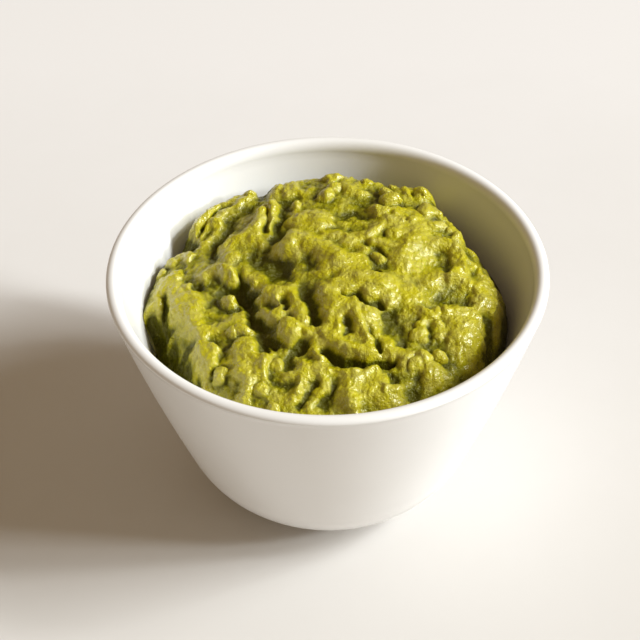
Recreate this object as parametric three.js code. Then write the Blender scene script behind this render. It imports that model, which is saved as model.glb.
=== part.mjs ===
// A small white porcelain bowl heaped with guacamole.
// Units are millimetres, +Z is up, and the origin is the middle of the foot ring, on the table.
import * as THREE from "three";

// Driving dimensions of the bowl
const RIM_RADIUS = 60;
const BOWL_HEIGHT = 75.5;
const LIP_OUTER_ROUNDING = { width: 1.8, height: 1.3 }; // from the top of the lip out to its edge
const LIP_INNER_ROUNDING = { width: 2.4, height: 3.4 }; // from the top of the lip in to the wall
const LIP_DROP = 3.4; // from the top of the lip to the crease under it
const LIP_OVERHANG = 0.6; // how far the lip stands out from the wall
const LIP_START = THREE.MathUtils.degToRad(-30); // where the lip's rounding leaves the crease
const WALL_TILT = THREE.MathUtils.degToRad(18); // the wall leans out from upright
const WALL_BULGE = 0.55; // the wall is barely rounded between corner and lip
const WALL_THICKNESS = 3.6;
const FLOOR_THICKNESS = 3.8;
const CORNER_RADIUS = 29.3; // the wide rounding between the wall and the underside
const CORNER_CENTRE_RADIUS = 14.4;
const FOOT_OUTER_RADIUS = 25.5;
const FOOT_INNER_RADIUS = 22;
const FOOT_RECESS = 1.2; // the underside inside the foot ring stands this far off the table
const FOOT_CHAMFER = 0.6;

// Driving dimensions of the guacamole
const WALL_GAP = 0.3; // running clearance between the heap and the bowl
const PLAIN_MIDDLE = 70.5; // height of the heap's middle, without its ridges and hollows
const PLAIN_SLOPE = { x: 0.06, y: 0.12 }; // rise to the right and to the back
const PLAIN_DROP = { x: 9, y: 5 }; // how far the heap curves down to its sides, and to its front and back
const PLAIN_REACH = 51;
const SHOULDER_POWER = 26; // how steep the heap's edge is
const RELIEF_FADE_POWER = 40; // the relief fades out this sharply at the wall
const LOWEST_CONTACT = 46;

// Where the heap meets the wall: angle in degrees, from the right and anticlockwise, and height
const CONTACTS = [
  [0, 54], [15, 55], [40, 55], [65, 57], [90, 60], [120, 60], [136, 59], [145, 56.5], [160, 57.5],
  [178, 58], [187, 52], [196, LOWEST_CONTACT], [232, LOWEST_CONTACT], [270, 50], [335, 50], [350, 52],
];

// Facets
const BOWL_SEGMENTS = 64;
const HEAP_SEGMENTS = 72;
const HEAP_RINGS = 29;
const CORNER_STEPS = 6;
const WALL_STEPS = 4;
const LIP_OUTER_STEPS = 4;
const LIP_INNER_STEPS = 3;

// Every height in these lists is in mm above the plain heap.
// Broad masses of mashed avocado: centre, half sizes, turn in degrees, height of the top
const MASSES = [
  { name: "left slope", at: [-24, 15], half: [5, 3.5], turn: 0, top: 1.5 },
  { name: "round back mass", at: [-4.8, 23.5], half: [6.5, 5], turn: 0, top: 2.2 },
  { name: "left edge mass", at: [-44.5, 7], half: [4, 5], turn: 25, top: 2 },
  { name: "left nodules", at: [-44, 20], half: [6, 3], turn: -30, top: 1 },
  { name: "middle", at: [2.5, 5], half: [9, 6], turn: 0, top: 1.2 },
  { name: "crown", at: [12.5, -2.5], half: [7.5, 5.5], turn: 0, top: 3.6 },
  { name: "below the swipe", at: [21, -4.5], half: [8, 6], turn: 0, top: 1.4 },
  { name: "left plateau", at: [-39.5, -1], half: [6, 7], turn: -20, top: 1.4 },
  { name: "great dome", at: [5.5, -11], half: [10, 10], turn: 10, top: 3.6 },
  { name: "front left tongue", at: [-33, -22.5], half: [3.5, 5], turn: 0, top: 2.4 },
  { name: "front left slab", at: [-21.5, -26], half: [5, 7], turn: 0, top: 2.4 },
  { name: "hooked mass", at: [-14.5, -8], half: [5.5, 5], turn: 0, top: 2.2 },
  { name: "front shelf", at: [-2.5, -35], half: [13, 5], turn: 0, top: 1.2 },
  { name: "front right mass", at: [14.5, -37.5], half: [5, 5], turn: 0, top: 2.4 },
  { name: "right block", at: [27.3, -31.3], half: [4.2, 3.6], turn: -20, top: 2.2 },
  { name: "right slab", at: [36, -17.5], half: [5, 9], turn: 5, top: 3 },
  { name: "right edge", at: [44.5, -4], half: [3.5, 8], turn: 8, top: 1 },
  { name: "right back blocks", at: [23, 22], half: [7, 5], turn: 0, top: 1.8 },
  { name: "back left mass", at: [-12, 40], half: [4, 4.5], turn: 0, top: 0.8 },
  { name: "right back corner", at: [25, 36.5], half: [5, 4], turn: -20, top: 2 },
];

// Ridges that a spoon left: the crest's points, half widths left and right of its run, heights of its ends
const FOLDS = [
  {
    name: "back ledge, outer lobe",
    along: [[-38.5, 28], [-37, 32.5], [-33.5, 36.5], [-29, 39.5], [-24, 41.5]],
    halves: [2, 4], tops: [4.4, 1.2],
  },
  {
    name: "long left fold",
    along: [[-28.5, 16.5], [-26.5, 20.5], [-22.5, 22], [-20, 27.5], [-17, 31.5], [-12.5, 30]],
    halves: [1.8, 5], tops: [1.8, 3.2],
  },
  {
    name: "middle fold",
    along: [[-11, 12.5], [-9.5, 15.5], [-6.5, 14.5], [-2.5, 11.5], [1.5, 8], [5, 5]],
    halves: [4, 4.5], tops: [4, 3],
  },
  {
    name: "fold above the pit",
    along: [[-19, -3.5], [-16.5, -3], [-12.5, -4.5], [-10, -4.5], [-8, -8.5], [-6, -13.5]],
    halves: [3, 2.6], tops: [2.6, 2.8],
  },
  {
    name: "hooked fold's tail",
    along: [[-6.5, -17.5], [-4, -21], [-1, -24], [-2, -27]],
    halves: [1.5, 2.6], tops: [2, 1.2],
  },
  {
    name: "dome's upper edge",
    along: [[0, -6.5], [3.5, -5.5], [7, -8.5], [10.5, -11], [13, -11]],
    halves: [4, 2.4], tops: [3.4, 3.4],
  },
  {
    name: "dome lip",
    along: [[-4.5, -14.5], [-1.5, -19.5], [2, -24], [5.5, -26], [10.5, -26.5]],
    halves: [4, 1.8], tops: [2.4, 3],
  },
  {
    name: "cup rim",
    along: [[28, -1], [31.5, 0], [36, 0], [40, -2], [42, -6]],
    halves: [4, 1.8], tops: [1.6, 3],
  },
  { name: "slab top", along: [[32.5, -11], [35, -10.5], [38.5, -9.5]], halves: [1.6, 3], tops: [3.2, 3.4] },
  {
    name: "slab edge",
    along: [[41, -8.5], [41, -13], [40.5, -18], [39, -22.5]],
    halves: [1.7, 4], tops: [2.6, 2.2],
  },
  {
    name: "right curl",
    along: [[29.5, 13], [32, 14.5], [35.5, 14], [37.2, 10], [36.8, 4], [34.5, 0]],
    halves: [2, 3], tops: [3, 3.6],
  },
  {
    name: "arched fold",
    along: [[11, 16], [13.5, 18], [16, 20.5], [19, 20.5], [20.5, 17.5]],
    halves: [3, 2], tops: [2.2, 2.4],
  },
  {
    name: "fold behind it",
    along: [[14.5, 26.5], [17.5, 26.5], [20.5, 25.5]],
    halves: [2.6, 2], tops: [2.4, 2.4],
  },
  {
    name: "small fold, left",
    along: [[-1, 16], [1.5, 16], [5, 15.5], [7.5, 12.5]],
    halves: [2.4, 1.4], tops: [1.8, 2.2],
  },
  {
    name: "plateau's edge",
    along: [[-45, 2], [-42.5, -3], [-40, -5], [-38, -6.5], [-36, -11.5], [-33.5, -14]],
    halves: [4.5, 1.5], tops: [2.2, 2.4],
  },
  {
    name: "tongue's top",
    along: [[-36, -17], [-33.5, -17.5], [-31.5, -19], [-30, -20.5]],
    halves: [1.5, 3], tops: [3, 3.2],
  },
  {
    name: "front left slab's top",
    along: [[-24.5, -20.5], [-21.5, -19.5], [-18, -22.5], [-16.5, -26], [-16.5, -30.5]],
    halves: [1.5, 3.5], tops: [2.6, 3.2],
  },
  {
    name: "front shelf's edge",
    along: [[-6, -28.5], [-2.5, -30.5], [0.5, -31.5], [5, -31.5], [7.5, -32]],
    halves: [1.6, 3], tops: [1.6, 1.8],
  },
  {
    name: "front rib, right",
    along: [[6.5, -31], [5.8, -36], [5.6, -42]],
    halves: [2.4, 2.4], tops: [2.4, 2.6],
  },
];

// Round knobs: centre, ball radius, height of the top
const KNOBS = [
  { at: [2, 43], radius: 2.8, top: 1.6 },
  { at: [28.3, 37.5], radius: 3.2, top: 4.4 },
  { at: [18, 31.5], radius: 3.3, top: 3 },
  { at: [28, 28], radius: 2.6, top: 2.4 },
  { at: [24.5, 22], radius: 2.6, top: 2.6 },
  { at: [39, 7.5], radius: 3.2, top: 1.6 },
  { at: [44.5, 4.5], radius: 2.6, top: 1.6 },
  { at: [44.5, -1], radius: 2.8, top: 1.8 },
  { at: [46, -6.5], radius: 2.6, top: 1.4 },
  { at: [-21, 2], radius: 2.6, top: 1.6 },
  { at: [-33.5, -14.5], radius: 3, top: 2.4 },
  { at: [-10, -17], radius: 3.8, top: 3.6 },
  { at: [-25.5, -14.5], radius: 3, top: 1.6 },
  { at: [-28.3, -27.8], radius: 2.6, top: 2.2 },
  { at: [-1.3, -26], radius: 2.6, top: 2.4 },
  { at: [25.3, -27.3], radius: 3, top: 2.8 },
  { at: [-37, 3], radius: 2.6, top: 1.8 },
  { at: [23, -30], radius: 2.6, top: 2.2 },
  { at: [-9.5, 31], radius: 2.8, top: 2.4 },
  { at: [2.5, 37.5], radius: 2.6, top: 2.2 },
  { at: [0, 34.6], radius: 2.6, top: 2.2 },
  { at: [-1.5, 8.5], radius: 2.6, top: 3.2 },
  { at: [29.5, 21.5], radius: 2.6, top: 2.2 },
  { at: [24, -19], radius: 2.6, top: 2 },
  { at: [15, -37.5], radius: 3.2, top: 3.2 },
];

// Creases and pits: the points that the bottom follows, half width, heights of its ends
const CREASES = [
  {
    name: "fall to the back wall",
    along: [[-24, 48], [-14, 51], [0, 52.5], [14, 51], [24, 47]],
    half: 5, bottoms: [-7, -8],
  },
  {
    name: "fall to the right back wall",
    along: [[34.5, 39.5], [38.5, 31.5], [41.5, 24.5], [45.5, 16], [49.5, 9]],
    half: 3.8, bottoms: [-10, -8],
  },
  {
    name: "recess by the left wall",
    along: [[-38.5, 23], [-43, 25.5], [-47, 24.5]],
    half: 2.2, bottoms: [-3, -5],
  },
  { name: "pit in the ledge", along: [[-34.8, 23.5], [-33.5, 27]], half: 1.5, bottoms: [-0.5, -0.5] },
  {
    name: "behind the long left fold",
    along: [[-31.5, 16], [-30, 22], [-28, 27], [-25.5, 30.5], [-22.5, 33], [-19.5, 35]],
    half: 2.4, bottoms: [-2, -1.4],
  },
  {
    name: "notch in the skyline",
    along: [[-18.5, 37], [-18.3, 41], [-18.3, 46]],
    half: 1.8, bottoms: [-0.6, -4.4],
  },
  {
    name: "right of the long left fold",
    along: [[-11.5, 33], [-12, 28], [-13, 22], [-13.5, 18]],
    half: 2.2, bottoms: [-1, -1.8],
  },
  { name: "scoop", along: [[-20.5, 12.5], [-16.5, 9], [-13, 6]], half: 4.2, bottoms: [-1.8, -2.6] },
  {
    name: "inside the left curl",
    along: [[-34, 5.5], [-31.5, 5], [-29.5, 2]],
    half: 2.4, bottoms: [-1.4, -1],
  },
  { name: "slot", along: [[-25, 8], [-24.5, 4]], half: 1.5, bottoms: [-0.8, -3] },
  { name: "deep left pit", along: [[-27, 2], [-24, 1.5], [-21, -1.5]], half: 2.6, bottoms: [-4.5, -6.5] },
  {
    name: "deep left pit, front",
    along: [[-20.8, -4.5], [-19.5, -9.5], [-17, -15]],
    half: 2, bottoms: [-4, -2.4],
  },
  {
    name: "pit's left end",
    along: [[-31, -1.5], [-28.5, -4], [-25, -5.5]],
    half: 2.2, bottoms: [-1.5, -3],
  },
  {
    name: "under the middle bulb",
    along: [[-17.3, -22], [-17.5, -18], [-14.5, -20.5]],
    half: 1.8, bottoms: [-1.6, -2],
  },
  {
    name: "front left of the lip",
    along: [[-6.5, -22], [-10, -22.5], [-10, -28]],
    half: 1.8, bottoms: [-2.2, -0.8],
  },
  { name: "dome furrow, left", along: [[4.6, -15.5], [4.4, -19.5]], half: 1.5, bottoms: [1.6, 0.4] },
  {
    name: "below the lip's right end",
    along: [[13.5, -27.5], [15, -30], [16.5, -33.5]],
    half: 1.8, bottoms: [-1, -1.5],
  },
  {
    name: "right of the dome",
    along: [[16.3, -12.5], [16.5, -16.5], [19.3, -20.5]],
    half: 2.6, bottoms: [-1.2, -1.4],
  },
  { name: "cup", along: [[30.5, -4.5], [33.5, -5.5], [36.5, -6.5]], half: 2.8, bottoms: [-0.2, -0.4] },
  {
    name: "right of the slab",
    along: [[43.5, -10.5], [43.5, -14.5], [42.5, -20]],
    half: 1.5, bottoms: [-1, -1.6],
  },
  { name: "front right notch", along: [[22, -32.5], [22, -38]], half: 1.8, bottoms: [-0.8, -1.4] },
  { name: "front row notch, middle", along: [[1, -34.5], [-1, -39.5]], half: 2, bottoms: [-0.4, -1.2] },
  {
    name: "front row notch, left",
    along: [[-4, -34], [-5, -37], [-8, -40]],
    half: 1.6, bottoms: [-0.8, -1],
  },
  { name: "back pit", along: [[3.5, 26.5], [8, 26.5], [10, 25]], half: 1.5, bottoms: [-0.8, -1.6] },
  { name: "right of the spike", along: [[39.5, 15], [41.5, 12]], half: 1.6, bottoms: [-1, -1] },
  { name: "left flank", along: [[-48, -4], [-45.2, -9.5], [-41.5, -15]], half: 3.1, bottoms: [-9, -10] },
  {
    name: "gap beside the left flank",
    along: [[-51, -4], [-49.5, -9], [-46.5, -15], [-42.5, -22], [-38, -28]],
    half: 2.8, bottoms: [-13, -14],
  },
  {
    name: "left of the tongue",
    along: [[-41, -15.5], [-39.2, -19], [-38.8, -24]],
    half: 1.7, bottoms: [-9, -7],
  },
];

// The smooth face that the back of a spoon pressed: centre, half sizes, turn, height and its own slopes
const SWIPE = { at: [25, 8.5], half: [6.5, 10.5], turn: -20, height: 1.8, slopeX: -0.38, slopeY: 0.3 };

// The outer wall between the corner's rounding and the crease under the lip
const CORNER_END = -WALL_TILT;
const WALL_TOP = new THREE.Vector2(RIM_RADIUS - LIP_OVERHANG, BOWL_HEIGHT - LIP_DROP);

function arcPoints(centreX, centreY, radius, from, to, steps) {
  return Array.from({ length: steps + 1 }, (_, k) => {
    const angle = from + ((to - from) * k) / steps;
    return new THREE.Vector2(centreX + radius * Math.cos(angle), centreY + radius * Math.sin(angle));
  });
}

// Points on the wide rounding under the wall, at a radius about its centre.
function cornerPoints(radius, from, to) {
  return arcPoints(CORNER_CENTRE_RADIUS, CORNER_RADIUS, radius, from, to, CORNER_STEPS);
}

// Points strictly between two ends of a wall line that bows outwards by bulge in its middle.
function bowedPoints(start, end, bulge, steps) {
  const outward = new THREE.Vector2(end.y - start.y, start.x - end.x).normalize();
  return Array.from({ length: steps - 1 }, (_, k) => {
    const share = (k + 1) / steps;
    return start.clone().lerp(end, share).addScaledVector(outward, 4 * bulge * share * (1 - share));
  });
}

function outerProfile() {
  const cornerStart = -Math.acos((FOOT_OUTER_RADIUS - CORNER_CENTRE_RADIUS) / CORNER_RADIUS);
  const corner = cornerPoints(CORNER_RADIUS, cornerStart, CORNER_END);
  return [
    new THREE.Vector2(0, FOOT_RECESS),
    new THREE.Vector2(FOOT_INNER_RADIUS - FOOT_CHAMFER, FOOT_RECESS),
    new THREE.Vector2(FOOT_INNER_RADIUS, 0),
    new THREE.Vector2(FOOT_OUTER_RADIUS - FOOT_CHAMFER, 0),
    ...corner,
    ...bowedPoints(corner.at(-1), WALL_TOP, WALL_BULGE, WALL_STEPS),
    WALL_TOP,
  ];
}

// The lip is rounded more tightly outside than inside, each part a quarter of its own ellipse.
function lipProfile() {
  const crest = RIM_RADIUS - LIP_OUTER_ROUNDING.width;
  const partOf = ({ width, height }, from, to, steps) =>
    arcPoints(0, 0, 1, from, to, steps).map(
      (point) => new THREE.Vector2(crest + width * point.x, BOWL_HEIGHT + height * (point.y - 1)),
    );
  return [
    ...partOf(LIP_OUTER_ROUNDING, LIP_START, Math.PI / 2, LIP_OUTER_STEPS),
    ...partOf(LIP_INNER_ROUNDING, Math.PI / 2, Math.PI, LIP_INNER_STEPS).slice(1, -1),
  ];
}

function innerProfile() {
  const radius = CORNER_RADIUS - FLOOR_THICKNESS;
  const corner = cornerPoints(radius, CORNER_END, -Math.PI / 2);
  const top = new THREE.Vector2(WALL_TOP.x - WALL_THICKNESS, WALL_TOP.y);
  return [
    top,
    ...bowedPoints(corner[0], top, WALL_BULGE, WALL_STEPS).reverse(),
    ...corner,
    new THREE.Vector2(0, FLOOR_THICKNESS),
  ];
}

// Radius of the bowl's inner face at a height, read off its profile.
function innerRadius(height) {
  const profile = innerProfile();
  const k = profile.findIndex((point) => point.y <= height);
  const above = profile[k - 1];
  const below = profile[k];
  return below.x + ((above.x - below.x) * (height - below.y)) / (above.y - below.y);
}

function bowlGeometry() {
  const profile = [...outerProfile(), ...lipProfile(), ...innerProfile()];
  return new THREE.LatheGeometry(profile, BOWL_SEGMENTS).rotateX(Math.PI / 2);
}

// A flat-topped bump, 1 in its middle and 0 well outside its half sizes.
function bump(x, y, { at, half, turn }) {
  const angle = THREE.MathUtils.degToRad(turn);
  const across = (x - at[0]) * Math.cos(angle) + (y - at[1]) * Math.sin(angle);
  const along = (y - at[1]) * Math.cos(angle) - (x - at[0]) * Math.sin(angle);
  return Math.exp(-(((across / half[0]) ** 2 + (along / half[1]) ** 2) ** 2));
}

// How a point lies to a path: distance, how squarely to its left (1) or right (-1), share of the way along.
function placeOnPath(x, y, path) {
  const point = new THREE.Vector2(x, y);
  const legs = path.length - 1;
  let nearest = { distance: Infinity, side: 0, share: 0 };
  for (let k = 0; k < legs; k += 1) {
    const start = new THREE.Vector2(...path[k]);
    const leg = new THREE.Vector2(...path[k + 1]).sub(start);
    const offset = point.clone().sub(start);
    const share = THREE.MathUtils.clamp(offset.dot(leg) / leg.lengthSq(), 0, 1);
    const distance = offset.distanceTo(leg.clone().multiplyScalar(share));
    if (distance >= nearest.distance) continue;
    const side = leg.cross(offset) / leg.length() / Math.max(distance, 1e-6);
    nearest = { distance, side, share: (k + share) / legs };
  }
  return nearest;
}

// The heap is lifted to a fold's crest, whose two sides may fall off differently.
function foldedTo(height, x, y, { along, halves, tops }) {
  const { distance, side, share } = placeOnPath(x, y, along);
  const half = (halves[0] + halves[1]) / 2 + ((halves[0] - halves[1]) / 2) * side;
  const top = THREE.MathUtils.lerp(...tops, share);
  return height + Math.max(top - height, 0) * Math.exp(-((distance / half) ** 2));
}

// A knob shows as the part of a ball that stands out of the heap.
function knobbedTo(height, x, y, { at, radius, top }) {
  const away = Math.hypot(x - at[0], y - at[1]);
  return away < radius ? Math.max(height, top - radius + Math.sqrt(radius ** 2 - away ** 2)) : height;
}

function creasedTo(height, x, y, { along, half, bottoms }) {
  const { distance, share } = placeOnPath(x, y, along);
  const bottom = THREE.MathUtils.lerp(...bottoms, share);
  return height - Math.max(height - bottom, 0) * Math.exp(-((distance / half) ** 2));
}

// Height of the ridges and hollows above the plain heap.
function relief(x, y) {
  let height = 0;
  for (const mass of MASSES) height += Math.max(mass.top - height, 0) * bump(x, y, mass);
  const face = SWIPE.height + SWIPE.slopeX * (x - SWIPE.at[0]) + SWIPE.slopeY * (y - SWIPE.at[1]);
  height += (face - height) * bump(x, y, SWIPE);
  for (const fold of FOLDS) height = foldedTo(height, x, y, fold);
  for (const knob of KNOBS) height = knobbedTo(height, x, y, knob);
  for (const crease of CREASES) height = creasedTo(height, x, y, crease);
  return height;
}

// Height at which the heap meets the wall, with a soft change from each given angle to the next.
function contactHeight(angle) {
  const degrees = THREE.MathUtils.euclideanModulo(THREE.MathUtils.radToDeg(angle), 360);
  const closed = [...CONTACTS, [CONTACTS[0][0] + 360, CONTACTS[0][1]]];
  const next = closed.findIndex(([place]) => place > degrees);
  const [[place, height], [nextPlace, nextHeight]] = [closed[next - 1], closed[next]];
  return THREE.MathUtils.lerp(height, nextHeight, THREE.MathUtils.smoothstep(degrees, place, nextPlace));
}

// Height of the heap without its ridges and hollows, away from the wall.
function plainHeight(x, y) {
  const slopes = PLAIN_SLOPE.x * x + PLAIN_SLOPE.y * y;
  const drops = PLAIN_DROP.x * (x / PLAIN_REACH) ** 2 + PLAIN_DROP.y * (y / PLAIN_REACH) ** 2;
  return PLAIN_MIDDLE + slopes - drops;
}

// Height of the heap at a point, where share runs from 0 in the middle to 1 at the wall.
function heapHeight(x, y, share) {
  const contact = contactHeight(Math.atan2(y, x));
  const plain = contact + (plainHeight(x, y) - contact) * (1 - share ** SHOULDER_POWER);
  return plain + relief(x, y) * (1 - share ** RELIEF_FADE_POWER);
}

// Rounds off the last digits, so that both ends of a lathe's seam land on the same points.
function snapped(length) {
  return Math.round(length * 1e6) / 1e6;
}

// The heap fills the bowl from its floor to the contact line, and its top is a disc of rings.
function heapGeometry() {
  const floorRadius = CORNER_RADIUS - FLOOR_THICKNESS - WALL_GAP;
  const corner = cornerPoints(floorRadius, -Math.PI / 2, CORNER_END);
  const underside = [new THREE.Vector2(0, FLOOR_THICKNESS + WALL_GAP), ...corner];
  const wallPoint = (height) => new THREE.Vector2(innerRadius(height) - WALL_GAP, height);
  underside.push(wallPoint((corner.at(-1).y + LOWEST_CONTACT) / 2));
  const top = Array.from({ length: HEAP_RINGS + 1 }, (_, k) => new THREE.Vector2(1 - k / HEAP_RINGS, 0));
  const geometry = new THREE.LatheGeometry([...underside, ...top], HEAP_SEGMENTS).rotateX(Math.PI / 2);
  const position = geometry.getAttribute("position");
  const rowLength = underside.length + top.length;
  for (let index = 0; index < position.count; index += 1) {
    const ring = (index % rowLength) - underside.length;
    if (ring < 0) continue;
    const share = top[ring].x;
    const angle = Math.atan2(position.getY(index), position.getX(index));
    const radius = share * wallPoint(contactHeight(angle)).x;
    const x = snapped(radius * Math.cos(angle));
    const y = snapped(radius * Math.sin(angle));
    position.setXYZ(index, x, y, heapHeight(x, y, share));
  }
  return geometry;
}

function piece(name, geometry, material) {
  const mesh = new THREE.Mesh(geometry, material);
  mesh.name = name;
  return mesh;
}

const porcelain = new THREE.MeshStandardMaterial({ color: 0xf4f1ea, roughness: 0.22, metalness: 0 });
const avocado = new THREE.MeshStandardMaterial({ color: 0xa79e32, roughness: 0.42, metalness: 0 });

const guacamoleInBowl = new THREE.Group();
guacamoleInBowl.add(piece("bowl", bowlGeometry(), porcelain));
guacamoleInBowl.add(piece("guacamole", heapGeometry(), avocado));

export default guacamoleInBowl;
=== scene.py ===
# Guacamole heaped in a small white porcelain bowl, on a pale floor in soft light from the right.
import math

import bpy
import numpy as np
from mathutils import Matrix, Vector, noise


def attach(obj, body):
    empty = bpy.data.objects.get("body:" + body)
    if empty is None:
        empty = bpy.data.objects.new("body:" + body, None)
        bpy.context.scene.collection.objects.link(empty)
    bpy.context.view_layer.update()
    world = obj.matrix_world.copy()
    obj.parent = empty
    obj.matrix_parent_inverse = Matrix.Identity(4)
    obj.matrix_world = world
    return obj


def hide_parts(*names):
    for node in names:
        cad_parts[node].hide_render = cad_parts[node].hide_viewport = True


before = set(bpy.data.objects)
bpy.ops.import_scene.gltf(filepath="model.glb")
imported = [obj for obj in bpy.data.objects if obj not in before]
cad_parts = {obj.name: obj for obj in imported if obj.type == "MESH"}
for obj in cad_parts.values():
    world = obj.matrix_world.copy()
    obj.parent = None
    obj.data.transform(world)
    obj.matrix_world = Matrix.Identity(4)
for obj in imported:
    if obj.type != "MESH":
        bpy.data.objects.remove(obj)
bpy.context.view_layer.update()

MM = 0.001
TINY = 1e-6  # keeps a division from being one by zero

# The bowl, in mm
RIM_RADIUS = 60.0
BOWL_HEIGHT = 75.5
LIP_OUTER_ROUNDING = (1.8, 1.3)  # width and height of its outer side
LIP_INNER_ROUNDING = (2.4, 3.4)
LIP_DROP = 3.4
LIP_OVERHANG = 0.6
WALL_TILT = math.radians(18)
WALL_BULGE = 0.55
WALL_THICKNESS = 3.6
FLOOR_THICKNESS = 3.8
CORNER_RADIUS = 29.3
CORNER_CENTRE_RADIUS = 14.4
FOOT_OUTER_RADIUS = 25.5
FOOT_INNER_RADIUS = 22.0
FOOT_RECESS = 1.2
FOOT_ROUNDING = 0.6
LIP_START = -math.pi / 6  # where the rounding of the lip's outer side begins

# Facets round the bowl, and along the arcs and lines of its section
BOWL_SEGMENTS = 192
OUTER_CORNER_STEPS = 24
INNER_CORNER_STEPS = 30
WALL_STEPS = 24
FOOT_STEPS = 6
LIP_STEPS = 14

# The heap of guacamole, in mm
WALL_GAP = 0.3
PLAIN_MIDDLE = 70.5
PLAIN_SLOPE = (0.06, 0.12)  # rise to the right and to the back
PLAIN_DROP = (9.0, 5.0)  # how far it curves down to the sides, and to the front and back
PLAIN_REACH = 51.0
SHOULDER_POWER = 26  # how steeply the heap falls at its edge
RELIEF_FADE_POWER = 40  # how near to the wall the relief fades out
HEAP_CELLS = 296  # quads across the top of the heap
EDGE_CROWDING = 0.08  # how far the quads crowd towards the edge
SIDE_STRIDE = 8  # quads of the top's edge beside each face below it
SIDE_STEPS = 6  # rows of faces down the bowl's corner

# Where the heap meets the wall: angle in degrees, from the right and anticlockwise, and height
CONTACTS = [
    (0, 54), (15, 55), (40, 55), (65, 57), (90, 60), (120, 60), (136, 59), (145, 56.5), (160, 57.5),
    (178, 58), (187, 52), (196, 46), (232, 46), (270, 50), (335, 50), (350, 52),
]

# Every height below is above the plain heap.
# Broad masses of mashed avocado: centre, half sizes, turn in degrees, height
MASSES = [
    ("left slope", (-24, 15), (5, 3.5), 0, 1.5),
    ("round back mass", (-4.8, 23.5), (6.5, 5), 0, 2.2),
    ("left edge mass", (-44.5, 7), (4, 5), 25, 2.0),
    ("left nodules", (-44, 20), (6, 3), -30, 1.0),
    ("middle", (2.5, 5), (9, 6), 0, 1.2),
    ("crown", (12.5, -2.5), (7.5, 5.5), 0, 3.6),
    ("below the swipe", (21, -4.5), (8, 6), 0, 1.4),
    ("left plateau", (-39.5, -1), (6, 7), -20, 1.4),
    ("great dome", (5.5, -11), (10, 10), 10, 3.6),
    ("front left tongue", (-33, -22.5), (3.5, 5), 0, 2.4),
    ("front left slab", (-21.5, -26), (5, 7), 0, 2.4),
    ("hooked mass", (-14.5, -8), (5.5, 5), 0, 2.2),
    ("front shelf", (-2.5, -35), (13, 5), 0, 1.2),
    ("front right mass", (14.5, -37.5), (5, 5), 0, 2.4),
    ("right block", (27.3, -31.3), (4.2, 3.6), -20, 2.2),
    ("right slab", (36, -17.5), (5, 9), 5, 3.0),
    ("chip by the cup", (26.5, -13), (4, 2.4), -35, 2.8),
    ("right edge", (44.5, -4), (3.5, 8), 8, 1.0),
    ("right back blocks", (23, 22), (7, 5), 0, 1.8),
    ("back left mass", (-12, 40), (4, 4.5), 0, 0.8),
    ("right back corner", (25, 36.5), (5, 4), -20, 2.0),
]

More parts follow.
